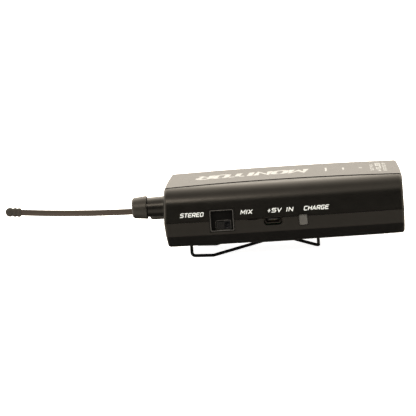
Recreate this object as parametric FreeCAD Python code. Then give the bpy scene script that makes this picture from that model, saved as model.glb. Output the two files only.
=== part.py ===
import FreeCAD, Part
import math
import os
from FreeCAD import Vector

# Wireless bodypack of an in-ear monitoring system, in millimetres.
# +X runs from the antenna tip to the plain end, +Z is the printed front face.
# The side with the controls faces -Y. The origin is under the middle of the
# whole length, at the height of the lowest point of the belt clip wire.
# Sizes inside the functions are given as:
#   u = distance from the antenna end face, along +X
#   y = distance from the middle of the width
#   w = height above the flat back

# ---- driving dimensions ----
LENGTH = 105.0
WIDTH = 66.0
THICK = 26.7
CROWN = 0.8
CROWN_CUT = 0.08
SEAM = 11.4
SHOULDER_R = 8.3
EDGE_W = 5.4
EDGE_IN = 0.9
CHAMFER_DEG = 40.0
SIDE_BOW = 1.6
END_BOW = 0.5
END_ROUND = 1.4
BACK_ROUND = 2.0
WALL = 2.0
PANEL_T = 1.2
GLUE_T = 0.3
PANEL_GAP = 0.35
PANEL_PROUD = 0.28
PANEL_END_HALF = 25.0
PANEL_MID_HALF = 23.05
ROOF = PANEL_T + GLUE_T + 1.3

REACH = 75.3
BOOT_R = 4.3
BOOT_LEN = 8.9
WHIP_R = 1.4
WHIP_BEND = 600.0
TIP_LEN = 7.2
ANT_Y = 15.0
ANT_W = 11.45

KNOB_Y = -17.0
KNOB_W = 17.3
BOSS_LEN = 7.1
KNOB_LEN = 6.6
KNOB_GAP = 0.25
SHAFT_R = 1.6

JACK_Y = 0.0
JACK_W = 15.9
LAMP_Y = -8.4
JACK_BORE_R = 1.8

WIRE_R = 0.7
CLIP_U = 10.8
CLIP_Y = 16.0
CLIP_W = 3.0
CLIP_DROP = 6.0

BOARD_W0 = 7.3
BOARD_W1 = 8.9

SWITCH_U = 25.7
SLOT_U = 26.2
SLOT_W = 9.3
SLIDER_LEN = 3.2
SLIDE_TRAVEL = 2.0
SLOT_HALF = (SLIDER_LEN + SLIDE_TRAVEL + 1.0) / 2.0
USB_U = 47.8
USB_W = 10.27
LAMP_U = 60.9
LAMP_W0 = 7.45
LAMP_W1 = 11.9

CASE_SCREWS = [(15.5, -22.5), (15.5, 22.5), (97.0, -22.5), (97.0, 22.5)]
BOARD_SCREWS = [(38.0, -23.0), (38.0, 23.0), (84.0, -23.0), (84.0, 23.0)]

END_X = REACH - (REACH + LENGTH) / 2.0
BACK_Z = CLIP_DROP + WIRE_R


# ---- small helpers ----
def at(u, y, w):
    return Vector(END_X + u, y, BACK_Z + w)


def block(u0, u1, y0, y1, w0, w1):
    return Part.makeBox(u1 - u0, y1 - y0, w1 - w0, at(u0, y0, w0))


def rod_x(u0, u1, y, w, r):
    return Part.makeCylinder(r, u1 - u0, at(u0, y, w), Vector(1, 0, 0))


def rod_y(u, y0, y1, w, r):
    return Part.makeCylinder(r, y1 - y0, at(u, y0, w), Vector(0, 1, 0))


def rod_z(u, y, w0, w1, r):
    return Part.makeCylinder(r, w1 - w0, at(u, y, w0), Vector(0, 0, 1))


def edges_along(shape, axis):
    found = []
    for edge in shape.Edges:
        box = edge.BoundBox
        spans = [box.XLength, box.YLength, box.ZLength]
        long_span = spans[axis]
        spans[axis] = 0.0
        if long_span > 0.05 and max(spans) < 0.01:
            found.append(edge)
    return found


def rounded(shape, axis, r):
    return shape.makeFillet(r, edges_along(shape, axis))


def turned_x(profile, y, w):
    # Profile points are (u, radius) pairs, turned about an axis along X.
    points = []
    for u, radius in profile:
        points.append(at(u, y, w + radius))
    points.append(points[0])
    face = Part.Face(Part.makePolygon(points))
    return face.revolve(at(0, y, w), Vector(1, 0, 0), 360)


def group(shapes):
    return Part.makeCompound(shapes)


def smooth_path(points, radii):
    # Straight runs joined by arcs. radii has one value per inner corner.
    edges = []
    start = points[0]
    for i in range(1, len(points) - 1):
        corner = points[i]
        into = (corner - points[i - 1]).normalize()
        out = (points[i + 1] - corner).normalize()
        turn = into.getAngle(out)
        if turn < 0.001:
            continue
        reach = radii[i - 1] * math.tan(turn / 2.0)
        a = corner - into * reach
        b = corner + out * reach
        inward = (out - into).normalize()
        rise = radii[i - 1] * (1.0 / math.cos(turn / 2.0) - 1.0)
        middle = corner + inward * rise
        if (a - start).Length > 0.001:
            edges.append(Part.LineSegment(start, a).toShape())
        edges.append(Part.Arc(a, middle, b).toShape())
        start = b
    edges.append(Part.LineSegment(start, points[-1]).toShape())
    return Part.Wire(edges)


def wire_along(points, radii, r):
    path = smooth_path(points, radii)
    heading = points[1] - points[0]
    ring = Part.Wire(Part.Circle(points[0], heading, r).toShape())
    return path.makePipeShell([ring], True, False)


# ---- the housing form ----
def side_face(inset):
    half = WIDTH / 2.0 - inset
    shoulder = SHOULDER_R - inset
    wall_top = THICK + CROWN_CUT - SHOULDER_R
    foot_run = (EDGE_W - inset) / math.tan(math.radians(CHAMFER_DEG))
    u = LENGTH / 2.0
    foot = at(u, half - EDGE_IN - foot_run, inset)
    edge = at(u, half - EDGE_IN, EDGE_W)
    seam = at(u, half, SEAM)
    wall = at(u, half, wall_top)
    bulge_y = half - shoulder + shoulder * math.cos(math.pi / 4.0)
    bulge = at(u, bulge_y, wall_top + shoulder * math.sin(math.pi / 4.0))
    top = at(u, half - shoulder, wall_top + shoulder)
    far_top = at(u, -50.0, wall_top + shoulder)
    far_foot = at(u, -50.0, inset)
    edges = [
        Part.LineSegment(far_foot, foot).toShape(),
        Part.LineSegment(foot, edge).toShape(),
        Part.LineSegment(edge, seam).toShape(),
        Part.LineSegment(seam, wall).toShape(),
        Part.Arc(wall, bulge, top).toShape(),
        Part.LineSegment(top, far_top).toShape(),
        Part.LineSegment(far_top, far_foot).toShape(),
    ]
    return Part.Face(Part.Wire(edges))


def side_solid(inset):
    # The long sides bow outwards, so the section is swept round a far axis.
    radius = LENGTH * LENGTH / (8.0 * SIDE_BOW)
    swing = math.degrees(math.asin((LENGTH / 2.0 + 12.0) / radius))
    pivot = at(LENGTH / 2.0, WIDTH / 2.0 - radius, 0)
    face = side_face(inset)
    face.rotate(pivot, Vector(0, 0, 1), -swing)
    return face.revolve(pivot, Vector(0, 0, 1), 2.0 * swing)


def end_solid(sign, inset, draft_up, draft_down):
    # sign is -1 for the antenna end and +1 for the plain end.
    radius = WIDTH * WIDTH / (8.0 * END_BOW)
    swing = math.degrees(math.asin((WIDTH / 2.0 + 8.0) / radius))
    if sign > 0:
        u = LENGTH - inset
    else:
        u = inset
    low = -4.0
    high = THICK + 6.0
    in_low = math.tan(math.radians(draft_down)) * (SEAM - low)
    in_high = math.tan(math.radians(draft_up)) * (high - SEAM)
    points = [
        at(u - sign * 130.0, 0, low),
        at(u - sign * in_low, 0, low),
        at(u, 0, SEAM),
        at(u - sign * in_high, 0, high),
        at(u - sign * 130.0, 0, high),
        at(u - sign * 130.0, 0, low),
    ]
    face = Part.Face(Part.makePolygon(points))
    pivot = at(u - sign * radius, 0, 0)
    face.rotate(pivot, Vector(0, 0, 1), -swing)
    return face.revolve(pivot, Vector(0, 0, 1), 2.0 * swing)


def under_crown(depth, floor_w, half_y):
    # Everything under the lengthwise crowned top, lowered by depth.
    top = THICK - depth
    radius = (LENGTH / 2.0) ** 2 / (2.0 * CROWN) + CROWN / 2.0
    half = LENGTH / 2.0 + 12.0
    drop = radius - math.sqrt(radius * radius - half * half)
    u0 = LENGTH / 2.0 - half
    u1 = LENGTH / 2.0 + half
    a = at(u0, -half_y, top - drop)
    b = at(LENGTH / 2.0, -half_y, top)
    c = at(u1, -half_y, top - drop)
    d = at(u1, -half_y, floor_w)
    e = at(u0, -half_y, floor_w)
    edges = [
        Part.Arc(a, b, c).toShape(),
        Part.LineSegment(c, d).toShape(),
        Part.LineSegment(d, e).toShape(),
        Part.LineSegment(e, a).toShape(),
    ]
    face = Part.Face(Part.Wire(edges))
    return face.extrude(Vector(0, 2.0 * half_y, 0))


def form(inset, depth):
    near = side_solid(inset)
    far = near.mirror(Vector(0, 0, 0), Vector(0, 1, 0))
    shape = near.common(far)
    shape = shape.common(end_solid(-1, inset, 3.4, 4.5))
    shape = shape.common(end_solid(1, inset, 0.6, 1.0))
    return shape.common(under_crown(depth, inset, WIDTH))


def slab(w0, w1):
    return block(-20, LENGTH + 20, -WIDTH, WIDTH, w0, w1)


def end_edges(shape):
    # Every edge of the two end faces, apart from the ones on the seam.
    faces = sorted(shape.Faces, key=lambda f: f.CenterOfMass.x)
    found = []
    for face in (faces[0], faces[-1]):
        for edge in face.Edges:
            box = edge.BoundBox
            on_seam = abs(box.ZMin - BACK_Z - SEAM) < 0.02
            on_seam = on_seam and abs(box.ZMax - BACK_Z - SEAM) < 0.02
            if not on_seam:
                found.append(edge)
    return found


def foot_edges(shape):
    # The two long edges where the chamfers meet the flat back.
    found = []
    for edge in shape.Edges:
        box = edge.BoundBox
        flat = abs(box.ZMax - BACK_Z) < 0.02
        if flat and box.XLength > LENGTH * 0.8:
            found.append(edge)
    return found


def upper_form():
    shape = form(0.0, 0.0).common(slab(SEAM, THICK + 5))
    return shape.makeFillet(END_ROUND, end_edges(shape))


def lower_form():
    shape = form(0.0, 0.0).common(slab(-5, SEAM))
    shape = shape.makeFillet(BACK_ROUND, foot_edges(shape))
    return shape.makeFillet(END_ROUND, end_edges(shape))


def seam_groove():
    ring = form(0.0, 0.0).cut(form(0.3, 0.3))
    return ring.common(slab(SEAM - 0.11, SEAM + 0.11))


def panel_outline(extra, w0, w1):
    # Plan of the front panel. Its long sides curve in at the middle.
    end_half = PANEL_END_HALF + extra
    mid_half = PANEL_MID_HALF + extra
    over = 12.0
    bend = (LENGTH / 2.0) ** 2 / (2.0 * (end_half - mid_half))
    grow = (LENGTH / 2.0 + over) ** 2 / (2.0 * bend)
    far_half = mid_half + grow
    a = at(-over, -far_half, w0)
    b = at(LENGTH / 2.0, -mid_half, w0)
    c = at(LENGTH + over, -far_half, w0)
    d = at(LENGTH + over, far_half, w0)
    e = at(LENGTH / 2.0, mid_half, w0)
    f = at(-over, far_half, w0)
    edges = [
        Part.Arc(a, b, c).toShape(),
        Part.LineSegment(c, d).toShape(),
        Part.Arc(d, e, f).toShape(),
        Part.LineSegment(f, a).toShape(),
    ]
    face = Part.Face(Part.Wire(edges))
    return face.extrude(Vector(0, 0, w1 - w0))


# ---- openings shared by the two halves of the housing ----
def switch_window():
    half_u = 5.45
    return block(SWITCH_U - half_u, SWITCH_U + half_u, -40, -29.2, SEAM - 4.9, SEAM + 5.1)


def usb_window():
    u0 = USB_U - 4.0
    u1 = USB_U + 4.0
    points = [
        at(u0, -40, SEAM + 0.35),
        at(u1, -40, SEAM + 0.35),
        at(u1, -40, USB_W - 1.15),
        at(u1 - 1.0, -40, USB_W - 2.1),
        at(u0 + 1.0, -40, USB_W - 2.1),
        at(u0, -40, USB_W - 1.15),
        at(u0, -40, SEAM + 0.35),
    ]
    face = Part.Face(Part.makePolygon(points))
    return face.extrude(Vector(0, 13, 0))


def lamp_window():
    shape = block(LAMP_U - 1.95, LAMP_U + 1.95, -40, -29.2, LAMP_W0 - 0.2, LAMP_W1 + 0.2)
    return rounded(shape, 1, 0.6)


def pry_notch():
    return block(36.8, 41.2, -34, -32.0, SEAM - 0.45, SEAM + 0.1)


def antenna_hole():
    seat = rod_x(-3, 1.3, ANT_Y, ANT_W, BOOT_R + 0.15)
    return seat.fuse(rod_x(0, 5, ANT_Y, ANT_W, 3.3))


def side_cuts():
    shapes = [switch_window(), usb_window(), lamp_window()]
    shapes.append(pry_notch())
    shapes.append(antenna_hole())
    shapes.append(seam_groove())
    return group(shapes)


# ---- housing parts ----
def knob_boss():
    root = 2.4
    profile = [
        (root, 0),
        (root, 5.6),
        (0.75, 5.6),
        (0.1, 4.75),
        (-0.6, 4.58),
        (-BOSS_LEN + 0.1, 4.3),
        (-BOSS_LEN, 4.2),
        (-BOSS_LEN, 0),
    ]
    boss = turned_x(profile, KNOB_Y, KNOB_W)
    return boss.common(slab(SEAM + 0.25, THICK - 5))


def front_shell():
    shell = upper_form().cut(form(WALL, ROOF))
    seat = panel_outline(PANEL_GAP, SEAM + 2, THICK + 4)
    seat = seat.cut(under_crown(PANEL_T + GLUE_T, 0.0, WIDTH * 0.6))
    shell = shell.cut(seat)
    shell = shell.fuse(knob_boss())
    cavity = form(WALL, ROOF)
    posts = []
    for u, y in CASE_SCREWS:
        post = rod_z(u, y, SEAM + 1.4, THICK - 2.5, 2.9)
        posts.append(post.common(form(0.6, ROOF - 0.4)))
    for y in (-18.6, 17.2):
        rib = block(46, 92, y, y + 1.4, 16.0, THICK - 2.5)
        posts.append(rib.common(form(0.6, ROOF - 0.4)))
    shell = shell.fuse(posts)
    rebate = form(1.0, ROOF).common(slab(SEAM - 1, SEAM + 1.35))
    shell = shell.cut(rebate.cut(cavity))
    shell = shell.cut(side_cuts())
    shell = shell.cut(rod_x(-20, 5, KNOB_Y, KNOB_W, 3.05))
    shell = shell.cut(rod_x(-5, 5, JACK_Y, JACK_W, 3.1))
    shell = shell.cut(rod_x(-5, 0.75, JACK_Y, JACK_W, 4.6))
    shell = shell.cut(rod_x(-5, 5, LAMP_Y, JACK_W, 1.55))
    for u, y in CASE_SCREWS:
        shell = shell.cut(rod_z(u, y, SEAM, 20.0, 1.2))
    return shell


def rear_shell():
    lip = form(1.1, ROOF).cut(form(WALL, ROOF))
    lip = lip.common(slab(SEAM - 0.5, SEAM + 1.15))
    shell = lower_form().cut(form(WALL, ROOF))
    shell = shell.fuse(lip)
    parts = []
    for u, y in CASE_SCREWS:
        parts.append(rod_z(u, y, 1.5, SEAM + 1.2, 2.9))
    for u, y in BOARD_SCREWS:
        parts.append(rod_z(u, y, 1.5, BOARD_W0, 2.5))
    for side in (-1, 1):
        y0 = min(side * (CLIP_Y + 1.5), side * (CLIP_Y + 5.8))
        ear = block(CLIP_U - 2.0, CLIP_U + 2.0, y0, y0 + 4.3, 1.5, 5.2)
        parts.append(rounded(ear, 1, 1.0))
    for u in (58.0, 66.0, 74.0):
        parts.append(block(u, u + 1.2, -16, 16, 1.5, 4.4))
    for y in (-8.0, 8.0):
        parts.append(block(30, 92, y - 0.6, y + 0.6, 1.5, 4.0))
    shell = shell.fuse(parts)
    shell = shell.cut(side_cuts())
    for u, y in CASE_SCREWS:
        shell = shell.cut(rod_z(u, y, -1, SEAM + 3, 1.35))
        shell = shell.cut(rod_z(u, y, -1, 1.3, 2.6))
    for u, y in BOARD_SCREWS:
        shell = shell.cut(rod_z(u, y, 2.6, 8, 0.95))
    for side in (-1, 1):
        y_mid = side * CLIP_Y
        slot = block(CLIP_U - 1.4, CLIP_U + 1.1, y_mid - 0.95, y_mid + 0.95, -1, 2.6)
        shell = shell.cut(rounded(slot, 2, 0.9))
        y0 = min(side * (CLIP_Y + 1.0), side * (CLIP_Y + 5.4))
        bore = rod_y(CLIP_U, y0, y0 + 4.4, CLIP_W, WIRE_R + 0.05)
        shell = shell.cut(bore)
    shell = shell.cut(label_recess())
    return shell


def label_recess():
    # Shallow pocket in the back for a plain rating plate.
    pocket = block(72, 94, -16, 16, -1, 0.25)
    return rounded(pocket, 2, 1.5)


def rating_label():
    plate = block(72.3, 93.7, -15.7, 15.7, 0.02, 0.24)
    return rounded(plate, 2, 1.3)


def front_panel():
    # Stands slightly proud of the housing around it.
    shape = panel_outline(0.0, SEAM + 2, THICK + 4)
    shape = shape.common(end_solid(-1, 0.0, 3.4, 4.5))
    shape = shape.common(end_solid(1, 0.0, 0.6, 1.0))
    shape = shape.common(under_crown(-PANEL_PROUD, 0.0, WIDTH * 0.6))
    top = max(shape.Faces, key=lambda f: f.CenterOfMass.z)
    ends = [e for e in top.Edges if e.BoundBox.YLength > e.BoundBox.XLength]
    shape = shape.makeFillet(END_ROUND, ends)
    return shape.cut(under_crown(PANEL_T, 0.0, WIDTH * 0.6))


def panel_adhesive():
    sheet = panel_outline(-1.2, SEAM + 2, THICK + 4)
    sheet = sheet.common(block(2.5, LENGTH - 1.6, -40, 40, 10, THICK + 4))
    sheet = sheet.common(under_crown(PANEL_T + 0.02, 0.0, WIDTH * 0.6))
    return sheet.cut(under_crown(PANEL_T + GLUE_T - 0.02, -1.0, WIDTH))


# ---- volume control ----
def volume_knob():
    back = -BOSS_LEN - KNOB_GAP
    front = back - KNOB_LEN
    profile = [
        (back, 0),
        (back, 4.98),
        (back - 0.15, 5.1),
        (back - 0.45, 5.12),
        (front + 1.2, 4.62),
        (front + 0.75, 4.5),
        (front + 0.35, 4.24),
        (front + 0.1, 3.86),
        (front, 3.4),
        (front, 0),
    ]
    knob = turned_x(profile, KNOB_Y, KNOB_W)
    hollow = rod_x(back - 1.6, back + 1, KNOB_Y, KNOB_W, 3.5)
    knob = knob.cut(hollow)
    knob = knob.cut(rod_x(back - 4.4, back, KNOB_Y, KNOB_W, SHAFT_R + 0.02))
    mark = block(front - 1, front + 0.35, KNOB_Y - 0.4, KNOB_Y + 0.4, 0, 9)
    mark.translate(Vector(0, 0, KNOB_W + 1.2))
    return knob.cut(mark)


def volume_shaft():
    end = -BOSS_LEN - KNOB_GAP - 4.3
    shaft = rod_x(end, 6.4, KNOB_Y, KNOB_W, SHAFT_R)
    flat = block(end - 1, end + 4.0, KNOB_Y - 3, KNOB_Y + 3, KNOB_W + 1.1, 20)
    return shaft.cut(flat)


def volume_pot():
    body = block(3.6, 9.6, KNOB_Y - 5.2, KNOB_Y + 5.2, BOARD_W1, KNOB_W + 5.2)
    body = rounded(body, 0, 1.2)
    bushing = rod_x(-6.2, 3.8, KNOB_Y, KNOB_W, 3.0)
    pot = body.fuse(bushing)
    pot = pot.cut(rod_x(-7, 8.0, KNOB_Y, KNOB_W, SHAFT_R + 0.05))
    legs = []
    for y in (-2.5, 0.0, 2.5):
        leg = block(7.0, 7.6, KNOB_Y + y - 0.35, KNOB_Y + y + 0.35, BOARD_W0 - 1.2, BOARD_W1 + 1)
        legs.append(leg)
    return pot.fuse(legs)


# ---- phones socket and status lamp ----
def phones_jack_body():
    body = block(3.4, 15.6, -4.6, 4.6, BOARD_W1, JACK_W + 3.6)
    body = rounded(body, 0, 0.8)
    neck = rod_x(-0.6, 3.6, JACK_Y, JACK_W, 3.0)
    shape = body.fuse(neck)
    return shape.cut(rod_x(-2, 13.4, JACK_Y, JACK_W, JACK_BORE_R))


def phones_jack_ring():
    profile = [
        (0.65, 3.05),
        (0.65, 4.4),
        (-0.4, 4.4),
        (-0.8, 4.0),
        (-0.8, 3.05),
    ]
    ring = turned_x(profile, JACK_Y, JACK_W)
    for i in range(2):
        angle = i * 90.0
        slot = block(-2, -0.35, -5, 5, JACK_W - 0.45, JACK_W + 0.45)
        slot.rotate(at(0, JACK_Y, JACK_W), Vector(1, 0, 0), angle)
        ring = ring.cut(slot)
    return ring


def status_lens():
    profile = [
        (3.6, 0),
        (3.6, 1.9),
        (2.9, 1.9),
        (2.9, 1.45),
        (0.35, 1.45),
        (0.02, 1.1),
        (-0.1, 0.55),
        (-0.12, 0),
    ]
    return turned_x(profile, LAMP_Y, JACK_W)


# ---- antenna ----
def antenna_boot():
    profile = [
        (4.6, 0.8),
        (4.6, 4.6),
        (3.2, 4.6),
        (3.2, 3.25),
        (1.2, 3.25),
        (1.2, BOOT_R),
        (-BOOT_LEN + 0.9, BOOT_R - 0.1),
        (-BOOT_LEN + 0.3, BOOT_R - 0.4),
        (-BOOT_LEN, BOOT_R - 1.0),
        (-BOOT_LEN, 0.8),
    ]
    boot = turned_x(profile, ANT_Y, ANT_W)
    return boot.cut(rod_x(-BOOT_LEN - 1, -2.0, ANT_Y, ANT_W, WHIP_R + 0.02))


def whip_angle():
    run = REACH - TIP_LEN - BOOT_LEN
    return math.degrees(math.asin(run / WHIP_BEND))


def whip_turned(shape, angle):
    # Carries a shape from the mouth of the boot along the curve of the whip.
    pivot = at(-BOOT_LEN, ANT_Y, ANT_W + WHIP_BEND)
    shape.rotate(pivot, Vector(0, 1, 0), angle)
    return shape


def antenna_whip():
    angle = whip_angle()
    pivot = at(-BOOT_LEN, ANT_Y, ANT_W + WHIP_BEND)
    centre = at(-BOOT_LEN, ANT_Y, ANT_W)
    ring = Part.Wire(Part.Circle(centre, Vector(1, 0, 0), WHIP_R).toShape())
    rod = Part.Face(ring).revolve(pivot, Vector(0, 1, 0), angle + 0.2)
    root = rod_x(-BOOT_LEN, -2.2, ANT_Y, ANT_W, WHIP_R)
    return rod.fuse(root)


def antenna_tip():
    base = -BOOT_LEN
    profile = [
        (base, WHIP_R + 0.02),
        (base, 1.75),
        (base - 0.25, 2.0),
        (base - 0.9, 2.12),
        (base - 1.45, 2.0),
        (base - 1.6, 1.8),
        (base - 2.0, 1.8),
        (base - 2.15, 2.0),
        (base - 2.8, 2.15),
        (base - 3.4, 2.0),
        (base - 3.55, 1.8),
        (base - 3.95, 1.8),
    ]
    for step in range(0, 9):
        turn = math.radians(36.0 + step * 18.0)
        centre = base - 5.05
        u = centre + 2.15 * math.cos(turn)
        profile.append((u, 2.15 * math.sin(turn)))
    profile.append((base - 2.2, 0.0))
    profile.append((base - 2.2, WHIP_R + 0.02))
    tip = turned_x(profile, ANT_Y, ANT_W)
    return whip_turned(tip, whip_angle())


def antenna_feed():
    pin = rod_x(-1.8, 9.0, ANT_Y, ANT_W, 0.75)
    foot = block(7.6, 8.8, ANT_Y - 0.6, ANT_Y + 0.6, BOARD_W1, ANT_W)
    return pin.fuse(foot)


# ---- mode switch ----
def switch_bezel():
    outer = block(SWITCH_U - 5.25, SWITCH_U + 5.25, -40, -29.6, SEAM - 4.7, SEAM + 4.9)
    outer = outer.common(form(0.12, 0.12))
    pocket = block(SWITCH_U - 4.65, SWITCH_U + 4.65, -41, -30.6, SEAM - 4.1, SEAM + 4.3)
    slot = block(SLOT_U - SLOT_HALF, SLOT_U + SLOT_HALF, -41, -20, SLOT_W - 1.9, SLOT_W + 1.9)
    slot = rounded(slot, 1, 0.5)
    return outer.cut(pocket).cut(slot)


def switch_body():
    shell = block(20.8, 31.6, -29.3, -24.6, SLOT_W - 1.9, SLOT_W + 1.9)
    slot = block(SLOT_U - 3.0, SLOT_U + 3.0, -30, -27.0, SLOT_W - 1.2, SLOT_W + 1.2)
    body = shell.cut(slot)
    ears = []
    for u in (20.0, 31.4):
        ears.append(block(u, u + 1.0, -27.6, -25.6, SLOT_W - 1.4, SLOT_W + 0.6))
    return body.fuse(ears)


def switch_actuator():
    u0 = SLOT_U - SLOT_HALF + 0.3
    stem = block(u0 + 0.5, u0 + 2.7, -31.9, -27.3, SLOT_W - 1.0, SLOT_W + 1.0)
    cap = block(u0, u0 + SLIDER_LEN, -31.9, -29.7, SLOT_W - 1.6, SLOT_W + 1.6)
    cap = rounded(cap, 1, 0.4)
    grips = []
    for i in range(3):
        u = u0 + 0.65 + i * 0.8
        grips.append(block(u, u + 0.3, -32.5, -31.65, SLOT_W - 1.3, SLOT_W + 1.3))
    return cap.fuse(stem).cut(group(grips))


# ---- charging socket and lamp ----
def usb_outline(grow):
    half = 3.45 + grow
    top = 1.1 + grow
    points = [
        at(USB_U - half, 0, USB_W + top),
        at(USB_U + half, 0, USB_W + top),
        at(USB_U + half, 0, USB_W - 0.1),
        at(USB_U + half - 0.75, 0, USB_W - top),
        at(USB_U - half + 0.75, 0, USB_W - top),
        at(USB_U - half, 0, USB_W - 0.1),
        at(USB_U - half, 0, USB_W + top),
    ]
    return Part.Face(Part.makePolygon(points))


def usb_shell():
    outer = usb_outline(0.25).extrude(Vector(0, 5.4, 0))
    outer.translate(Vector(0, -31.6, 0))
    inner = usb_outline(0.0).extrude(Vector(0, 4.9, 0))
    inner.translate(Vector(0, -31.7, 0))
    feet = []
    for u in (USB_U - 4.1, USB_U + 3.4):
        feet.append(block(u, u + 0.7, -28.5, -27.0, BOARD_W0 + 0.6, BOARD_W1 + 1.0))
    return outer.cut(inner).fuse(feet)


def usb_tongue():
    back = block(USB_U - 3.2, USB_U + 3.2, -27.6, -26.85, USB_W - 0.3, USB_W + 1.1)
    blade = block(USB_U - 1.85, USB_U + 1.85, -31.0, -27.2, USB_W + 0.05, USB_W + 0.6)
    return back.fuse(blade)


def usb_contacts():
    pins = []
    for i in range(5):
        u = USB_U - 1.3 + i * 0.65
        pins.append(block(u - 0.16, u + 0.16, -30.9, -27.7, USB_W - 0.07, USB_W + 0.03))
    return group(pins)


def charge_light_pipe():
    face_plate = block(LAMP_U - 1.725, LAMP_U + 1.725, -40, -30.4, LAMP_W0, LAMP_W1)
    face_plate = rounded(face_plate, 1, 0.5)
    face_plate = face_plate.common(form(0.25, 0.3))
    guide = block(LAMP_U - 1.2, LAMP_U + 1.2, -30.5, -27.4, BOARD_W1 + 0.3, BOARD_W1 + 1.9)
    return face_plate.fuse(guide)


def charge_led():
    base = block(LAMP_U - 1.1, LAMP_U + 1.1, -27.1, -25.1, BOARD_W1, BOARD_W1 + 0.5)
    dome = block(LAMP_U - 0.8, LAMP_U + 0.8, -27.1, -25.5, BOARD_W1 + 0.5, BOARD_W1 + 1.5)
    return base.fuse(dome)


# ---- belt clip ----
def clip_points(side):
    y = side * CLIP_Y
    return [
        at(CLIP_U, side * (CLIP_Y + 5.2), CLIP_W),
        at(CLIP_U, y, CLIP_W),
        at(CLIP_U, y, -5.6),
        at(20.2, y, -CLIP_DROP),
        at(42.5, y, -0.9),
        at(56.0, y, -0.9),
        at(66.7, y, -4.5),
    ]


def belt_clip():
    near = clip_points(-1)
    far = clip_points(1)
    far.reverse()
    radii = [1.3, 1.5, 2.5, 4.0, 4.0, 2.2, 2.2, 4.0, 4.0, 2.5, 1.5, 1.3]
    return wire_along(near + far, radii, WIRE_R)


# ---- electronics ----
def main_board():
    board = block(5.2, 98.5, -28.4, 28.4, BOARD_W0, BOARD_W1)
    board = rounded(board, 2, 3.0)
    board = board.common(form(WALL + 0.5, ROOF + 0.5))
    cuts = []
    for u, y in CASE_SCREWS:
        cuts.append(rod_z(u, y, 0, 12, 3.2))
    for u, y in BOARD_SCREWS:
        cuts.append(rod_z(u, y, 0, 12, 1.2))
    cuts.append(block(19.8, 32.6, -31, -24.4, 0, 12))
    cuts.append(block(57.6, 64.8, -31, -27.2, 0, 12))
    for y in (-2.5, 0.0, 2.5):
        cuts.append(rod_z(7.3, KNOB_Y + y, 0, 12, 0.6))
    for u in (USB_U - 3.75, USB_U + 3.75):
        cuts.append(block(u - 0.6, u + 0.6, -28.8, -26.7, 0, 12))
    return board.cut(group(cuts))


def rf_shield():
    can = block(11.5, 34.0, 5.2, 18.8, BOARD_W1 + 0.01, BOARD_W1 + 3.4)
    can = rounded(can, 2, 1.0)
    can = can.cut(block(11.9, 33.6, 5.6, 18.4, BOARD_W1 - 1, BOARD_W1 + 3.1))
    holes = []
    for i in range(5):
        for j in range(3):
            u = 15.0 + i * 4.0
            y = 8.2 + j * 3.8
            holes.append(rod_z(u, y, BOARD_W1 + 2.8, BOARD_W1 + 3.8, 0.6))
    return can.cut(group(holes))


def chip(u, y, size_u, size_y, height, pins):
    body = block(u - size_u / 2, u + size_u / 2, y - size_y / 2, y + size_y / 2,
                 BOARD_W1 + 0.1, BOARD_W1 + height)
    leads = []
    pitch = (size_u - 1.2) / (pins - 1)
    for i in range(pins):
        x = u - size_u / 2 + 0.6 + i * pitch
        leads.append(block(x - 0.13, x + 0.13, y - size_y / 2 - 0.9,
                           y + size_y / 2 + 0.9, BOARD_W1 + 0.02, BOARD_W1 + 0.25))
    return body.fuse(leads)


def controller_chip():
    return chip(38.0, -9.0, 10.0, 10.0, 1.4, 11)


def audio_chip():
    return chip(22.0, -9.5, 9.7, 4.4, 1.2, 14)


def charger_chip():
    return chip(52.0, -18.0, 4.9, 3.9, 1.5, 4)


def power_inductor():
    core = block(56.5, 62.5, -20.5, -14.5, BOARD_W1 + 0.05, BOARD_W1 + 3.0)
    core = rounded(core, 2, 1.2)
    top = rod_z(59.5, -17.5, BOARD_W1 + 2.8, BOARD_W1 + 3.4, 2.1)
    return core.fuse(top)


def crystal():
    can = block(31.0, 36.0, -1.6, 1.6, BOARD_W1 + 0.1, BOARD_W1 + 1.2)
    can = rounded(can, 2, 0.8)
    return can.fuse(block(30.6, 36.4, -2.0, 2.0, BOARD_W1 + 0.02, BOARD_W1 + 0.3))


def electrolytic_caps():
    parts = []
    for u, y in [(19.5, -2.6), (26.0, -2.6), (68.5, -17.5)]:
        base = block(u - 2.6, u + 2.6, y - 2.6, y + 2.6, BOARD_W1 + 0.02, BOARD_W1 + 0.8)
        base = rounded(base, 2, 0.5)
        can = rod_z(u, y, BOARD_W1 + 0.7, BOARD_W1 + 3.5, 2.45)
        parts.append(base.fuse(can))
    return group(parts)


def board_passives():
    parts = []
    for i in range(6):
        u = 20.0 + i * 2.6
        parts.append(block(u, u + 1.6, -16.8, -16.0, BOARD_W1 + 0.02, BOARD_W1 + 0.55))
    for i in range(5):
        y = -3.0 + i * 1.9
        parts.append(block(44.6, 46.2, y, y + 0.8, BOARD_W1 + 0.02, BOARD_W1 + 0.55))
    for i in range(4):
        u = 48.5 + i * 2.4
        parts.append(block(u, u + 1.6, -23.6, -22.8, BOARD_W1 + 0.02, BOARD_W1 + 0.55))
    for i in range(4):
        y = 6.5 + i * 3.6
        parts.append(block(36.4, 38.0, y, y + 0.8, BOARD_W1 + 0.02, BOARD_W1 + 0.55))
    return group(parts)


def battery_cell():
    cell = block(46.5, 92.5, -17.0, 17.0, 13.1, 22.6)
    cell = rounded(cell, 0, 2.6)
    cap = block(45.3, 46.7, -14.0, 14.0, 15.1, 20.7)
    return cell.fuse(cap)


def battery_pad():
    pad = block(50, 89, -12, 12, 22.65, 23.6)
    return pad.common(form(WALL + 0.1, ROOF + 0.1))


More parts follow.
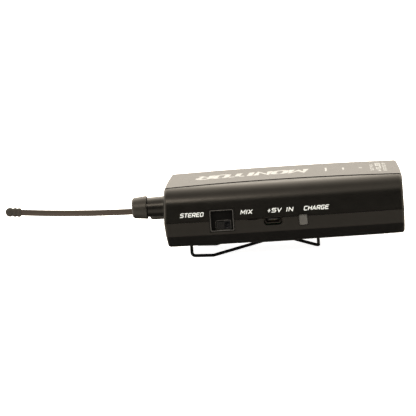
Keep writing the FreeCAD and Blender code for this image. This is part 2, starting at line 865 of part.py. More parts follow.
def battery_header():
    shell = block(38.6, 43.2, 12.0, 19.8, BOARD_W1 + 0.02, BOARD_W1 + 4.8)
    shell = rounded(shell, 2, 0.4)
    return shell.cut(block(40.2, 44.0, 12.8, 19.0, BOARD_W1 + 0.8, BOARD_W1 + 4.0))


def battery_plug():
    plug = block(40.4, 44.6, 13.0, 18.8, BOARD_W1 + 1.0, BOARD_W1 + 3.8)
    return rounded(plug, 0, 0.3)


def battery_lead(y_plug, y_cell, bow):
    points = [
        at(44.65, y_plug, BOARD_W1 + 2.4),
        at(46.4 + bow, y_plug, BOARD_W1 + 2.4),
        at(43.6 - bow, y_cell, 17.9),
        at(45.25, y_cell, 17.9),
    ]
    return wire_along(points, [0.9, 0.9], 0.45)


def battery_lead_red():
    return battery_lead(17.2, 8.5, 0.2)


def battery_lead_black():
    return battery_lead(14.6, 4.0, 0.0)


# ---- screws ----
def cross_cut(u, y, w0, w1, size):
    one = block(u - size, u + size, y - 0.22, y + 0.22, w0, w1)
    two = block(u - 0.22, u + 0.22, y - size, y + size, w0, w1)
    return one.fuse(two)


def case_screws():
    parts = []
    for u, y in CASE_SCREWS:
        head = rod_z(u, y, -0.35, 0.85, 2.2)
        head = head.makeChamfer(0.35, [head.Edges[2]])
        shank = rod_z(u, y, 0.8, 19.0, 1.1)
        screw = head.fuse(shank).cut(cross_cut(u, y, -1, 0.15, 1.2))
        screw.translate(Vector(0, 0, 0.4))
        parts.append(screw)
    return group(parts)


def board_screws():
    parts = []
    for u, y in BOARD_SCREWS:
        head = rod_z(u, y, BOARD_W1 + 0.02, BOARD_W1 + 1.4, 2.0)
        shank = rod_z(u, y, 3.0, BOARD_W1 + 0.2, 0.9)
        screw = head.fuse(shank).cut(cross_cut(u, y, BOARD_W1 + 0.8, BOARD_W1 + 2, 1.1))
        parts.append(screw)
    return group(parts)


PARTS = [
    ("front_shell", front_shell),
    ("rear_shell", rear_shell),
    ("front_panel", front_panel),
    ("panel_adhesive", panel_adhesive),
    ("rating_label", rating_label),
    ("volume_knob", volume_knob),
    ("volume_shaft", volume_shaft),
    ("volume_pot", volume_pot),
    ("phones_jack_body", phones_jack_body),
    ("phones_jack_ring", phones_jack_ring),
    ("status_lens", status_lens),
    ("antenna_boot", antenna_boot),
    ("antenna_whip", antenna_whip),
    ("antenna_tip", antenna_tip),
    ("antenna_feed", antenna_feed),
    ("switch_bezel", switch_bezel),
    ("switch_body", switch_body),
    ("switch_actuator", switch_actuator),
    ("usb_shell", usb_shell),
    ("usb_tongue", usb_tongue),
    ("usb_contacts", usb_contacts),
    ("charge_light_pipe", charge_light_pipe),
    ("charge_led", charge_led),
    ("belt_clip", belt_clip),
    ("main_board", main_board),
    ("rf_shield", rf_shield),
    ("controller_chip", controller_chip),
    ("audio_chip", audio_chip),
    ("charger_chip", charger_chip),
    ("power_inductor", power_inductor),
    ("crystal", crystal),
    ("electrolytic_caps", electrolytic_caps),
    ("board_passives", board_passives),
    ("battery_cell", battery_cell),
    ("battery_pad", battery_pad),
    ("battery_header", battery_header),
    ("battery_plug", battery_plug),
    ("battery_lead_red", battery_lead_red),
    ("battery_lead_black", battery_lead_black),
    ("case_screws", case_screws),
    ("board_screws", board_screws),
]

os.makedirs("parts", exist_ok=True)
for name, make in PARTS:
    shape = make()
    print(name, shape.isValid(), len(shape.Solids), round(shape.Volume, 1))
    shape.exportStep("parts/" + name + ".step")
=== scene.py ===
import math

import bmesh
import bpy
from mathutils import Matrix, Vector
from mathutils.bvhtree import BVHTree


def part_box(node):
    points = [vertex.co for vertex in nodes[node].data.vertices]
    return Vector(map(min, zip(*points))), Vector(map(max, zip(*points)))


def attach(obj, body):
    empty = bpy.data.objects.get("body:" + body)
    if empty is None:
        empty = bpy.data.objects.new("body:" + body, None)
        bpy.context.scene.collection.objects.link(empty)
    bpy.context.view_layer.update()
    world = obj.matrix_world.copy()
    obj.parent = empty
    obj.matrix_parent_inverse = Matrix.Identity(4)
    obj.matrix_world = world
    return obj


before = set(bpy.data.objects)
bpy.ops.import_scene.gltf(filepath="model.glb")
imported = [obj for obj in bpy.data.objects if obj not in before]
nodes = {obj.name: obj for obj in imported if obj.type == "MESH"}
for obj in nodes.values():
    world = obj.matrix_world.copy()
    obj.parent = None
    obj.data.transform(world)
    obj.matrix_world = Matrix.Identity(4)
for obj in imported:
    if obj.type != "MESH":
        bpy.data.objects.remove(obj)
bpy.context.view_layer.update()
MM = 0.001

# ---- where things are, from the imported parts ----
SEAM_ABOVE_BACK = 11.4 * MM
case_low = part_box("rear_shell")[0]
seam_z = case_low.z + SEAM_ABOVE_BACK
end_x = case_low.x
panel_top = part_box("front_panel")[1].z
bezel_low, bezel_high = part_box("switch_bezel")
slider_low, slider_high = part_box("switch_actuator")

# ---- camera, as a product shot seen low over the controls side ----
# Angles in degrees, distance and aim in metres, lens in millimetres on a 36 mm sensor.
CAM_AZIMUTH = 3.16
CAM_ELEVATION = 7.69
CAM_ROLL = -4.1
CAM_DISTANCE = 0.9
CAM_LENS = 173.8
CAM_AIM = Vector((0.0035, 0.0, 0.01968))

# ---- lettering and print ----
PRINT_LIFT = 0.02 * MM
CAST_BACK = 30 * MM
PLACE_CLEAR = 5 * MM
LETTER_GAP = 0.46
LEGEND_HEIGHT = 1.9 * MM
LEGEND_PEN = 0.16 * MM
LEGEND_ABOVE_SEAM = 3.25 * MM
PANEL_TITLE_HEIGHT = 13.0 * MM
PANEL_TITLE_WIDTH = 51.0 * MM
PANEL_TITLE_PEN = 1.25 * MM

# ---- studio ----
FLOOR_HALF = 12.0
FLOOR_GLOW = 0.9
STUDIO_PEAK = 7.0
END_LEVEL = 0.3
WARM = (1.0, 0.91, 0.79)
COOL = (0.92, 0.98, 1.0)
WARM_TINT = (1.0, 0.95, 0.88, 1.0)


# ---- material helpers ----
def new_material(name, colour, roughness, metallic=0.0, ior=1.5):
    mat = bpy.data.materials.new(name)
    mat.use_nodes = True
    shader = mat.node_tree.nodes["Principled BSDF"]
    shader.inputs["Base Color"].default_value = (*colour, 1.0)
    shader.inputs["Roughness"].default_value = roughness
    shader.inputs["Metallic"].default_value = metallic
    shader.inputs["IOR"].default_value = ior
    return mat, shader


def texture_space(mat, stretch=(1, 1, 1)):
    tree = mat.node_tree
    coords = tree.nodes.new("ShaderNodeTexCoord")
    mapping = tree.nodes.new("ShaderNodeMapping")
    mapping.inputs["Scale"].default_value = stretch
    tree.links.new(coords.outputs["Object"], mapping.inputs["Vector"])
    return mapping.outputs["Vector"]


def noise(mat, space, scale, detail=3.0):
    node = mat.node_tree.nodes.new("ShaderNodeTexNoise")
    node.inputs["Scale"].default_value = scale
    node.inputs["Detail"].default_value = detail
    mat.node_tree.links.new(space, node.inputs["Vector"])
    return node.outputs["Fac"]


def spread(mat, value, low, high):
    # Maps the middle of the noise onto a range of numbers.
    node = mat.node_tree.nodes.new("ShaderNodeMapRange")
    node.inputs["From Min"].default_value = 0.3
    node.inputs["From Max"].default_value = 0.7
    node.inputs["To Min"].default_value = low
    node.inputs["To Max"].default_value = high
    mat.node_tree.links.new(value, node.inputs["Value"])
    return node.outputs["Result"]


def ramp(mat, value, low_colour, high_colour):
    # Maps the middle of the noise onto a range of colours.
    node = mat.node_tree.nodes.new("ShaderNodeValToRGB")
    node.color_ramp.elements[0].position = 0.3
    node.color_ramp.elements[1].position = 0.7
    node.color_ramp.elements[0].color = (*low_colour, 1.0)
    node.color_ramp.elements[1].color = (*high_colour, 1.0)
    mat.node_tree.links.new(value, node.inputs["Fac"])
    return node.outputs["Color"]


def add_bump(mat, shader, height, strength, depth):
    node = mat.node_tree.nodes.new("ShaderNodeBump")
    node.inputs["Strength"].default_value = strength
    node.inputs["Distance"].default_value = depth
    mat.node_tree.links.new(height, node.inputs["Height"])
    mat.node_tree.links.new(node.outputs["Normal"], shader.inputs["Normal"])


def surface(name, low_colour, high_colour, rough, grain, stretch=(1, 1, 1), **kind):
    # rough is (low, high); grain is (cells per metre, bump strength, depth in metres).
    mat, shader = new_material(name, high_colour, sum(rough) / 2, **kind)
    space = texture_space(mat, stretch)
    cloud = noise(mat, space, 90.0, 4.0)
    links = mat.node_tree.links
    links.new(ramp(mat, cloud, low_colour, high_colour), shader.inputs["Base Color"])
    fine = noise(mat, space, grain[0], 2.0)
    patches = noise(mat, space, 240.0, 3.0)
    links.new(spread(mat, patches, *rough), shader.inputs["Roughness"])
    add_bump(mat, shader, fine, grain[1], grain[2])
    return mat, shader


# ---- materials ----
def warm_plastic(name, low, high, rough, grain, ior):
    mat, shader = surface(name, low, high, rough, grain, ior=ior)
    shader.inputs["Specular Tint"].default_value = WARM_TINT
    return mat


def case_plastic():
    return warm_plastic(
        "case_plastic", (0.0015, 0.0014, 0.0012), (0.0022, 0.0021, 0.0018),
        (0.28, 0.33), (2600.0, 0.08, 0.00004), 1.38)


def panel_plastic():
    return warm_plastic(
        "panel_plastic", (0.0024, 0.0022, 0.0020), (0.0032, 0.0030, 0.0027),
        (0.27, 0.29), (3400.0, 0.015, 0.00001), 1.38)


def knob_plastic():
    return warm_plastic(
        "knob_plastic", (0.008, 0.0072, 0.006), (0.013, 0.012, 0.010),
        (0.36, 0.44), (3000.0, 0.12, 0.00004), 1.36)


def black_rubber():
    mat, _ = surface(
        "black_rubber", (0.014, 0.013, 0.011), (0.024, 0.021, 0.018),
        (0.50, 0.62), (1800.0, 0.18, 0.00005), ior=1.22)
    return mat


def whip_sleeve():
    mat, _ = surface(
        "whip_sleeve", (0.026, 0.021, 0.017), (0.038, 0.031, 0.025),
        (0.50, 0.60), (1400.0, 0.10, 0.00004), (0.2, 1, 1), ior=1.12)
    return mat


def clip_coating():
    mat, _ = surface(
        "clip_coating", (0.0014, 0.0014, 0.0014), (0.0024, 0.0023, 0.0022),
        (0.50, 0.60), (1500.0, 0.15, 0.00003), ior=1.10)
    return mat


def bezel_plastic():
    mat, _ = surface(
        "bezel_plastic", (0.0010, 0.0010, 0.0009), (0.0018, 0.0017, 0.0015),
        (0.44, 0.52), (2600.0, 0.08, 0.00003), ior=1.15)
    return mat


def bezel_edge_painted_highlight():
    # Lighter grey than the case plastic: a painted highlight along the switch window and slot
    # edges.
    mat, _ = surface(
        "bezel_edge_painted_highlight", (0.022, 0.021, 0.019), (0.034, 0.032, 0.029),
        (0.26, 0.34), (2600.0, 0.06, 0.00002))
    return mat


def slider_plastic():
    mat, _ = surface(
        "slider_plastic", (0.003, 0.003, 0.0028), (0.005, 0.0048, 0.0044),
        (0.42, 0.52), (2400.0, 0.12, 0.00003), ior=1.28)
    return mat


def plated_steel(name, low, high, rough):
    mat, _ = surface(
        name, low, high, rough, (900.0, 0.06, 0.00002), (0.15, 1, 1), metallic=1.0)
    return mat


def gold_plate():
    mat, _ = surface(
        "gold_plate", (0.76, 0.54, 0.22), (0.86, 0.66, 0.32),
        (0.20, 0.30), (1200.0, 0.05, 0.00002), metallic=1.0)
    return mat


def lamp_window():
    mat, shader = surface(
        "lamp_window", (0.038, 0.037, 0.033), (0.058, 0.056, 0.050),
        (0.26, 0.34), (1800.0, 0.08, 0.00003))
    shader.inputs["Transmission Weight"].default_value = 0.15
    shader.inputs["Coat Weight"].default_value = 0.2
    return mat


def status_glass():
    mat, shader = surface(
        "status_glass", (0.02, 0.16, 0.05), (0.03, 0.24, 0.08),
        (0.10, 0.16), (900.0, 0.03, 0.00001))
    shader.inputs["Transmission Weight"].default_value = 0.5
    return mat


def printed_ink(name, low, high):
    mat, _ = surface(name, low, high, (0.42, 0.52), (2200.0, 0.10, 0.00001))
    return mat


def plain_plastic(name, low, high, rough):
    mat, _ = surface(name, low, high, rough, (2000.0, 0.10, 0.00003))
    return mat


def board_laminate():
    # Green solder mask over a weave of glass cloth.
    mat, shader = surface(
        "board_laminate", (0.002, 0.012, 0.005), (0.003, 0.020, 0.008),
        (0.22, 0.30), (1500.0, 0.05, 0.00002))
    space = texture_space(mat)
    weave = mat.node_tree.nodes.new("ShaderNodeTexChecker")
    weave.inputs["Scale"].default_value = 900.0
    mat.node_tree.links.new(space, weave.inputs["Vector"])
    add_bump(mat, shader, weave.outputs["Fac"], 0.05, 0.00002)
    return mat


def brushed_foil(name, low, high):
    mat, _ = surface(
        name, low, high, (0.30, 0.42), (700.0, 0.12, 0.00004), (1, 0.1, 1), metallic=0.9)
    return mat


def foam():
    mat, _ = surface(
        "grey_foam", (0.05, 0.05, 0.052), (0.09, 0.09, 0.093),
        (0.85, 0.95), (1600.0, 0.60, 0.0002))
    return mat


def paint_nodes():
    steel = plated_steel("nickel_plate", (0.50, 0.49, 0.46), (0.62, 0.61, 0.58), (0.24, 0.34))
    tin = plated_steel("tin_plate", (0.42, 0.42, 0.41), (0.54, 0.54, 0.53), (0.34, 0.44))
    oxide = plated_steel("black_oxide", (0.020, 0.020, 0.020), (0.034, 0.033, 0.032), (0.36, 0.46))
    chip = plain_plastic("chip_epoxy", (0.008, 0.008, 0.009), (0.013, 0.013, 0.014), (0.55, 0.7))
    nylon = plain_plastic("white_nylon", (0.62, 0.60, 0.52), (0.72, 0.70, 0.62), (0.40, 0.50))
    gold = gold_plate()
    case = case_plastic()
    rubber = black_rubber()
    paints = {
        "front_shell": case,
        "rear_shell": case,
        "front_panel": panel_plastic(),
        "panel_adhesive": plain_plastic(
            "tape", (0.02, 0.02, 0.02), (0.03, 0.03, 0.03), (0.8, 0.9)),
        "rating_label": brushed_foil("rating_foil", (0.24, 0.24, 0.25), (0.32, 0.32, 0.33)),
        "volume_knob": knob_plastic(),
        "volume_shaft": steel,
        "volume_pot": tin,
        "phones_jack_body": chip,
        "phones_jack_ring": steel,
        "status_lens": status_glass(),
        "antenna_boot": rubber,
        "antenna_whip": whip_sleeve(),
        "antenna_tip": rubber,
        "antenna_feed": gold,
        "switch_bezel": bezel_plastic(),
        "switch_body": chip,
        "switch_actuator": slider_plastic(),
        # The USB shell's plating is given a dark colour: painted shade for the inside of the port.
        "usb_shell": plated_steel(
            "usb_shell_painted_shade", (0.07, 0.065, 0.06), (0.11, 0.10, 0.09), (0.3, 0.4)),
        "usb_tongue": chip,
        "usb_contacts": gold,
        "charge_light_pipe": lamp_window(),
        "charge_led": nylon,
        "belt_clip": clip_coating(),
        "main_board": board_laminate(),
        "rf_shield": tin,
        "controller_chip": chip,
        "audio_chip": chip,
        "charger_chip": chip,
        "power_inductor": plain_plastic(
            "ferrite", (0.03, 0.03, 0.03), (0.05, 0.05, 0.05), (0.5, 0.6)),
        "crystal": steel,
        "electrolytic_caps": brushed_foil("can_aluminium", (0.6, 0.6, 0.6), (0.74, 0.74, 0.74)),
        "board_passives": plain_plastic(
            "ceramic", (0.24, 0.18, 0.12), (0.36, 0.28, 0.20), (0.4, 0.5)),
        "battery_cell": brushed_foil("pouch_foil", (0.42, 0.43, 0.46), (0.55, 0.56, 0.60)),
        "battery_pad": foam(),
        "battery_header": nylon,
        "battery_plug": nylon,
        "battery_lead_red": plain_plastic(
            "red_lead", (0.40, 0.01, 0.01), (0.5, 0.02, 0.02), (0.4, 0.5)),
        "battery_lead_black": plain_plastic(
            "black_lead", (0.01, 0.01, 0.01), (0.02, 0.02, 0.02), (0.4, 0.5)),
        "case_screws": oxide,
        "board_screws": steel,
    }
    for name, mat in paints.items():
        for slot in nodes[name].material_slots:
            slot.material = mat


# ---- printed legends ----
def cast_onto(node_name, point, direction):
    # The first point of a CAD node that a ray meets, or None.
    return trees[node_name].ray_cast(point, direction)[0]


def add_piece(name, mesh, mat):
    piece = bpy.data.objects.new(name, mesh)
    bpy.context.scene.collection.objects.link(piece)
    piece.data.materials.append(mat)
    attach(piece, "housing")


def print_mesh(name, mesh, ink, node_name, inward):
    # Lays a flat mesh onto a CAD surface, along the inward direction.
    for vertex in mesh.vertices:
        hit = cast_onto(node_name, vertex.co - inward * CAST_BACK, inward)
        if hit is not None:
            vertex.co = hit - inward * PRINT_LIFT
    add_piece(name, mesh, ink)


def split_long_edges(mesh, limit):
    # Gives the flat outline enough points to follow a curved surface.
    shape = bmesh.new()
    shape.from_mesh(mesh)
    bmesh.ops.triangulate(shape, faces=shape.faces)
    for _ in range(3):
        long_edges = [e for e in shape.edges if e.calc_length() > limit]
        if long_edges:
            bmesh.ops.subdivide_edges(shape, edges=long_edges, cuts=1)
            bmesh.ops.triangulate(shape, faces=shape.faces)
    shape.to_mesh(mesh)
    shape.free()


# Each letter is a list of pen strokes in a box one unit wide and one high.
STROKES = {
    "A": [[(0, 0), (0.5, 1), (1, 0)], [(0.2, 0.3), (0.8, 0.3)]],
    "B": [[(0, 0), (0, 1), (0.92, 1), (0.92, 0.52), (0, 0.52)],
          [(0.92, 0.52), (1, 0.45), (1, 0), (0, 0)]],
    "C": [[(1, 1), (0, 1), (0, 0), (1, 0)]],
    "D": [[(0, 0), (0, 1), (0.8, 1), (1, 0.8), (1, 0.2), (0.8, 0), (0, 0)]],
    "E": [[(1, 1), (0, 1), (0, 0), (1, 0)], [(0, 0.5), (0.85, 0.5)]],
    "G": [[(1, 1), (0, 1), (0, 0), (1, 0), (1, 0.48), (0.55, 0.48)]],
    "H": [[(0, 0), (0, 1)], [(1, 0), (1, 1)], [(0, 0.5), (1, 0.5)]],
    "I": [[(0.5, 0), (0.5, 1)]],
    "K": [[(0, 0), (0, 1)], [(0, 0.45), (0.3, 0.5), (1, 1)], [(0.3, 0.5), (1, 0)]],
    "L": [[(0, 1), (0, 0), (1, 0)]],
    "M": [[(0, 0), (0, 1), (0.5, 0.3), (1, 1), (1, 0)]],
    "N": [[(0, 0), (0, 1), (1, 0), (1, 1)]],
    "O": [[(0.5, 1), (0, 1), (0, 0), (1, 0), (1, 1), (0.5, 1)]],
    "P": [[(0, 0), (0, 1), (1, 1), (1, 0.42), (0, 0.42)]],
    "R": [[(0, 0), (0, 1), (1, 1), (1, 0.42), (0, 0.42)], [(0.5, 0.42), (1, 0)]],
    "S": [[(1, 1), (0, 1), (0, 0.5), (1, 0.5), (1, 0), (0, 0)]],
    "T": [[(0, 1), (1, 1)], [(0.5, 1), (0.5, 0)]],
    "V": [[(0, 1), (0.5, 0), (1, 1)]],
    "W": [[(0, 1), (0.22, 0), (0.5, 0.7), (0.78, 0), (1, 1)]],
    "X": [[(0, 0), (1, 1)], [(0, 1), (1, 0)]],
    "Y": [[(0, 1), (0.5, 0.5), (1, 1)], [(0.5, 0.5), (0.5, 0)]],
    "5": [[(1, 1), (0, 1), (0, 0.55), (1, 0.55), (1, 0), (0, 0)]],
    "+": [[(0.1, 0.45), (0.9, 0.45)], [(0.5, 0.05), (0.5, 0.85)]],
}
LETTER_WIDTH = {"I": 0.25, "+": 0.75, "M": 1.2, "W": 1.3, " ": 0.55}


def round_corners(points, cut):
    # Square corners become short diagonals, as on moulded block lettering.
    out = [points[0]]
    for i in range(1, len(points) - 1):
        before = points[i - 1] - points[i]
        after = points[i + 1] - points[i]
        square = abs(before.normalized().dot(after.normalized())) < 0.25
        reach = min(cut, before.length * 0.4, after.length * 0.4)
        if square:
            out.append(points[i] + before.normalized() * reach)
            out.append(points[i] + after.normalized() * reach)
        else:
            out.append(points[i])
    out.append(points[-1])
    return out


def stroke_sides(points, half):
    # Left and right outline points of one pen stroke, mitred at its corners.
    left = []
    right = []
    last = len(points) - 1
    for i, point in enumerate(points):
        into = (point - points[max(i - 1, 0)]).normalized()
        away = (points[min(i + 1, last)] - point).normalized()
        if i == 0:
            into = away
        if i == last:
            away = into
        along = (into + away).normalized()
        side = Vector((-along.y, along.x))
        reach = half / max(0.45, side.dot(Vector((-into.y, into.x))))
        end = 0.0
        if i == 0:
            end = -half * 0.6
        if i == last:
            end = half * 0.6
        left.append(point + side * reach + along * end)
        right.append(point - side * reach + along * end)
    return left, right


def stroke_faces(shape, left, right, cursor, height, lean):
    # Joins the two outlines of a stroke into faces, leaning with height.
    pairs = []
    for ends in zip(left, right):
        pair = []
        for point in ends:
            x = cursor + point.x + point.y / height * lean
            pair.append(shape.verts.new((x, point.y - height / 2, 0)))
        pairs.append(pair)
    for one, two in zip(pairs, pairs[1:]):
        shape.faces.new((one[0], one[1], two[1], two[0]))


def text_mesh(words, height, width, slant, half, place):
    # Wide square lettering of a given cap height, overall width and pen half-width.
    lean = height * slant
    units = sum(LETTER_WIDTH.get(letter, 1.0) + LETTER_GAP for letter in words)
    scale = (width - lean - 2 * half) / (units - LETTER_GAP)
    shape = bmesh.new()
    cursor = half - width / 2
    for letter in words:
        letter_width = LETTER_WIDTH.get(letter, 1.0) * scale
        for stroke in STROKES.get(letter, []):
            points = [Vector((x * letter_width, half + y * (height - 2 * half))) for x, y in stroke]
            left, right = stroke_sides(round_corners(points, half * 1.3), half)
            stroke_faces(shape, left, right, cursor, height, lean)
        cursor += letter_width + LETTER_GAP * scale
    mesh = bpy.data.meshes.new("words")
    shape.to_mesh(mesh)
    shape.free()
    mesh.transform(place)
    return mesh


def rounded_outline(half_x, half_y, corner, steps):
    # Points round a rectangle, each corner a quarter turn in the given number of steps.
    points = []
    for sign_x, sign_y, start in ((1, 1, 0), (-1, 1, 90), (-1, -1, 180), (1, -1, 270)):
        for step in range(steps + 1):
            turn = math.radians(start + step * 90 / steps)
            x = sign_x * (half_x - corner) + corner * math.cos(turn)
            y = sign_y * (half_y - corner) + corner * math.sin(turn)
            points.append((x, y))
    return points


def strip_mesh(width, height, place):
    mesh = bpy.data.meshes.new("mark")
    corner = min(width, height) * 0.35
    points = [(x, y, 0) for x, y in rounded_outline(width / 2, height / 2, corner, 3)]
    mesh.from_pydata(points, [], [list(range(len(points)))])
    mesh.transform(place)
    return mesh


def side_place(x, z):
    # Text on the controls side: right along +X, up along +Z.
    turn = Matrix(((1, 0, 0), (0, 0, -1), (0, 1, 0))).to_4x4()
    return Matrix.Translation((x, case_low.y - PLACE_CLEAR, z)) @ turn


def panel_place(u, turn_degrees):
    # On the front panel, u millimetres from the antenna end, halfway across.
    turn = Matrix.Rotation(math.radians(turn_degrees), 4, "Z")
    return Matrix.Translation((end_x + u * MM, 0, panel_top + PLACE_CLEAR)) @ turn


def side_legends(ink):
    # Name, words, distance from the antenna end and width, in millimetres.
    inward = Vector((0, 1, 0))
    legends = [
        ("legend_stereo", "STEREO", 12.9, 10.6),
        ("legend_mix", "MIX", 36.6, 5.5),
        ("legend_power", "+5V IN", 51.2, 11.6),
        ("legend_charge", "CHARGE", 66.8, 11.2),
    ]
    for name, words, middle, width in legends:
        place = side_place(end_x + middle * MM, seam_z + LEGEND_ABOVE_SEAM)
        mesh = text_mesh(words, LEGEND_HEIGHT, width * MM, 0.25, LEGEND_PEN, place)
        split_long_edges(mesh, 1.5 * MM)
        print_mesh(name, mesh, ink, "front_shell", inward)


def panel_legends(ink):
    title = text_mesh("MONITOR", PANEL_TITLE_HEIGHT, PANEL_TITLE_WIDTH, 0.1,
                      PANEL_TITLE_PEN, panel_place(39.0, 180))
    prints = [("panel_title", title)]
    # Three plain marks: distance from the antenna end, width and length, in millimetres.
    marks = [(72.0, 0.8, 13.0), (79.7, 0.8, 8.0), (87.3, 1.4, 2.4)]
    for i, (u, width, length) in enumerate(marks):
        mesh = strip_mesh(width * MM, length * MM, panel_place(u, 0))
        prints.append(("panel_mark_%d" % (i + 1), mesh))
    # Three small lines: words, distance from the antenna end, height and width.
    lines = [
        ("STEREO RECEIVER", 98.0, 1.5, 30.0),
        ("WIRELESS", 95.3, 2.4, 31.0),
        ("BODYPACK", 92.4, 1.5, 22.0),
    ]
    for i, (words, u, height, width) in enumerate(lines):
        pen = 0.14 * height * MM
        mesh = text_mesh(words, height * MM, width * MM, 0.0, pen, panel_place(u, 90))
        prints.append(("panel_line_%d" % (i + 1), mesh))
    for name, mesh in prints:
        split_long_edges(mesh, 3 * MM)
        print_mesh(name, mesh, ink, "front_panel", Vector((0, 0, -1)))


# ---- thin moulded rims round the switch, in a lighter grey than the case as painted highlight ----
def filled_path(corners, spacing):
    # Adds points along the straight runs, so the bead can follow a curved wall.
    path = []
    for i, point in enumerate(corners):
        after = corners[(i + 1) % len(corners)]
        count = max(1, round((after - point).length / spacing))
        for step in range(count):
            path.append(point.lerp(after, step / count))
    return path


def laid_path(path, onto):
    # Moves each point along Y to the outermost surface of the named nodes.
    inward = Vector((0, 1, 0))
    for point in path:
        start = Vector((point.x, case_low.y - PLACE_CLEAR, point.z))
        hits = [cast_onto(name, start, inward) for name in onto]
        found = [hit.y for hit in hits if hit is not None]
        if found:
            point.y = min(found)
    return path


def bead_mesh(name, path, half_wide, half_deep):
    # A closed bead of oval section along a path that faces -Y.
    shape = bmesh.new()
    rings = []
    count = len(path)
    sides = 10
    for i, point in enumerate(path):
        ahead = path[(i + 1) % count] - path[i - 1]
        along = Vector((ahead.x, 0, ahead.z)).normalized()
        out = Vector((along.z, 0, -along.x))
        ring = []
        for step in range(sides):
            turn = math.radians(step * 360 / sides)
            offset = out * (half_wide * math.cos(turn))
            offset += Vector((0, half_deep * math.sin(turn), 0))
            ring.append(shape.verts.new(point + offset))
        rings.append(ring)
    for i, ring in enumerate(rings):
        after = rings[(i + 1) % count]
        for j in range(sides):
            k = (j + 1) % sides
            shape.faces.new((ring[j], ring[k], after[k], after[j]))
    bmesh.ops.recalc_face_normals(shape, faces=shape.faces)
    mesh = bpy.data.meshes.new(name)
    shape.to_mesh(mesh)
    shape.free()
    for face in mesh.polygons:
        face.use_smooth = True
    return mesh


def rounded_bead(name, centre, halves, corner, section, mat, onto):
    # A bead round a rectangle with rounded corners, laid on the named nodes.
    outline = rounded_outline(halves[0], halves[1], corner, 6)
    corners = [centre + Vector((x, 0, z)) for x, z in outline]
    path = laid_path(filled_path(corners, 0.4 * MM), onto)
    add_piece(name, bead_mesh(name, path, *section), mat)


def switch_rims_painted_highlight():
    # Both beads take the lighter grey, a painted highlight on the switch edges.
    mat = bezel_edge_painted_highlight()
    middle = (bezel_low + bezel_high) / 2
    inset = 0.28 * MM
    half_x = (bezel_high.x - bezel_low.x) / 2 - inset
    half_z = (bezel_high.z - bezel_low.z) / 2 - inset
    centre = Vector((middle.x, bezel_low.y, middle.z))
    rounded_bead("switch_window_highlight_rim", centre, (half_x, half_z), 0.35 * MM,
                 (0.15 * MM, 0.10 * MM), mat, ("switch_bezel", "front_shell", "rear_shell"))
    slot_x = (slider_low.x + slider_high.x) / 2 + 1.2 * MM
    slot_z = (slider_low.z + slider_high.z) / 2
    centre = Vector((slot_x, bezel_high.y - 1.0 * MM, slot_z))
    rounded_bead("switch_slot_highlight_rim", centre, (3.25 * MM, 2.05 * MM), 0.6 * MM,
                 (0.12 * MM, 0.10 * MM), mat, ("switch_bezel",))


# ---- floor, light and camera ----
def make_floor():
    mesh = bpy.data.meshes.new("floor")
    signs = ((-1, -1), (1, -1), (1, 1), (-1, 1))
    corners = [(x * FLOOR_HALF, y * FLOOR_HALF, 0) for x, y in signs]
    mesh.from_pydata(corners, [], [(0, 1, 2, 3)])
    floor = bpy.data.objects.new("floor", mesh)
    bpy.context.scene.collection.objects.link(floor)
    mat, shader = new_material("floor_paper", (0.90, 0.90, 0.90), 0.9)
    shader.inputs["Emission Color"].default_value = (1.0, 1.0, 1.0, 1.0)
    shader.inputs["Emission Strength"].default_value = FLOOR_GLOW
    mesh.materials.append(mat)
    floor.visible_glossy = False


# Brightness of the studio round the object, by angle about the X axis:
# 0 is the front horizon, 90 overhead, 180 the back horizon, -90 straight down.
STUDIO_RAMP = [
    (-180, 0.19), (-166, 0.07), (-150, 0.03), (-122, 0.012), (-80, 0.012),
    (-48, 0.20), (-28, 0.18), (-14, 0.012), (-4, 0.008), (14, 0.010),
    (32, 0.26), (46, 0.20), (62, 0.14), (78, 0.22), (92, 0.40),
    (112, 0.70), (136, 1.00), (148, 0.40), (160, 0.22), (176, 0.21),
]


def warm_level(level):
    return tuple(level * part for part in WARM) + (1.0,)


def math_node(tree, operation, *values):
    # Values are sockets to link or plain numbers.
    node = tree.nodes.new("ShaderNodeMath")
    node.operation = operation
    for socket, value in zip(node.inputs, values):
        if isinstance(value, float):
            socket.default_value = value
        else:
            tree.links.new(value, socket)
    return node.outputs["Value"]


def range_node(tree, value, low, high):
    node = tree.nodes.new("ShaderNodeMapRange")
    node.inputs["From Min"].default_value = low
    node.inputs["From Max"].default_value = high
    tree.links.new(value, node.inputs["Value"])
    return node.outputs["Result"]


def studio_band(tree, direction):
    # The studio's brightness by angle about the X axis.
    forward = math_node(tree, "MULTIPLY", direction["Y"], -1.0)
    angle = math_node(tree, "ARCTAN2", direction["Z"], forward)
    band = tree.nodes.new("ShaderNodeValToRGB")
    band.color_ramp.interpolation = "EASE"
    stops = band.color_ramp.elements
    while len(stops) > 1:
        stops.remove(stops[-1])
    for i, (degrees, level) in enumerate(STUDIO_RAMP):
        place = (degrees + 180) / 360
        stop = stops[0] if i == 0 else stops.new(place)
        stop.position = place
        stop.color = warm_level(level)
    tree.links.new(range_node(tree, angle, -math.pi, math.pi), band.inputs["Fac"])
    return band.outputs["Color"]


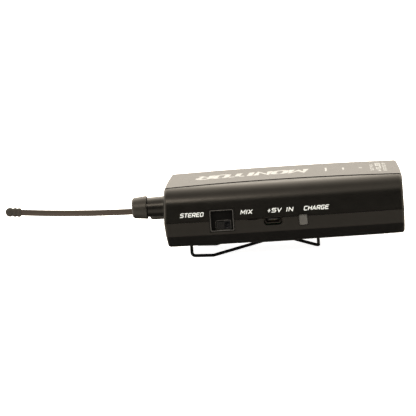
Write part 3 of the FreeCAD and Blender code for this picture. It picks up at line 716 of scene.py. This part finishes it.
def make_studio():
    world = bpy.data.worlds.new("studio")
    bpy.context.scene.world = world
    world.use_nodes = True
    tree = world.node_tree
    coords = tree.nodes.new("ShaderNodeTexCoord")
    split = tree.nodes.new("ShaderNodeSeparateXYZ")
    tree.links.new(coords.outputs["Generated"], split.inputs["Vector"])
    # Towards both ends of the object the bands give way to one even level.
    endwise = math_node(tree, "ABSOLUTE", split.outputs["X"])
    mix = tree.nodes.new("ShaderNodeMix")
    mix.data_type = "RGBA"
    colours = {socket.name: socket for socket in mix.inputs if socket.type == "RGBA"}
    tree.links.new(studio_band(tree, split.outputs), colours["A"])
    colours["B"].default_value = warm_level(END_LEVEL)
    tree.links.new(range_node(tree, endwise, 0.45, 0.85), mix.inputs[0])
    result = [socket for socket in mix.outputs if socket.type == "RGBA"][0]
    background = tree.nodes["Background"]
    tree.links.new(result, background.inputs["Color"])
    background.inputs["Strength"].default_value = STUDIO_PEAK


def make_lights():
    add_softbox("key_softbox", (-0.28, -0.64, 0.42), 0.45, 0.16, 2.2, WARM)
    fill = add_softbox("print_fill", (0.1, -0.9, 0.25), 0.7, 0.4, 2.6, COOL)
    fill.visible_glossy = False


def add_softbox(name, position, width, height, power, colour):
    light = bpy.data.lights.new(name, "AREA")
    light.shape = "RECTANGLE"
    light.size = width
    light.size_y = height
    light.energy = power
    light.color = colour
    holder = bpy.data.objects.new(name, light)
    holder.location = position
    towards = Vector((0, 0, 0.01)) - Vector(position)
    holder.rotation_euler = towards.to_track_quat("-Z", "Y").to_euler()
    bpy.context.scene.collection.objects.link(holder)
    return holder


def make_camera():
    azimuth = math.radians(CAM_AZIMUTH)
    elevation = math.radians(CAM_ELEVATION)
    away = Vector((
        math.sin(azimuth) * math.cos(elevation),
        -math.cos(azimuth) * math.cos(elevation),
        math.sin(elevation),
    ))
    camera = bpy.data.cameras.new("camera")
    camera.lens = CAM_LENS
    camera.sensor_width = 36.0
    camera.clip_start = 0.01
    camera.clip_end = 100.0
    holder = bpy.data.objects.new("camera", camera)
    aim = (-away).to_track_quat("-Z", "Y").to_matrix().to_4x4()
    roll = Matrix.Rotation(math.radians(CAM_ROLL), 4, "Z")
    holder.matrix_world = Matrix.Translation(CAM_AIM + away * CAM_DISTANCE) @ aim @ roll
    bpy.context.scene.collection.objects.link(holder)
    bpy.context.scene.camera = holder


# ---- build ----
graph = bpy.context.evaluated_depsgraph_get()
trees = {}
for tree_name in ("front_shell", "rear_shell", "front_panel", "switch_bezel"):
    trees[tree_name] = BVHTree.FromObject(nodes[tree_name], graph)

paint_nodes()
# The same white ink twice: the panel copy is darker than the side copy, painted shade that evens
# out the brighter light from above on the panel.
side_legends(printed_ink("side_ink", (0.40, 0.42, 0.42), (0.48, 0.50, 0.49)))
panel_legends(printed_ink("panel_ink_painted_shade", (0.25, 0.26, 0.26), (0.31, 0.32, 0.32)))
switch_rims_painted_highlight()
make_floor()
make_studio()
make_lights()
make_camera()
bpy.context.scene.view_settings.view_transform = "Standard"
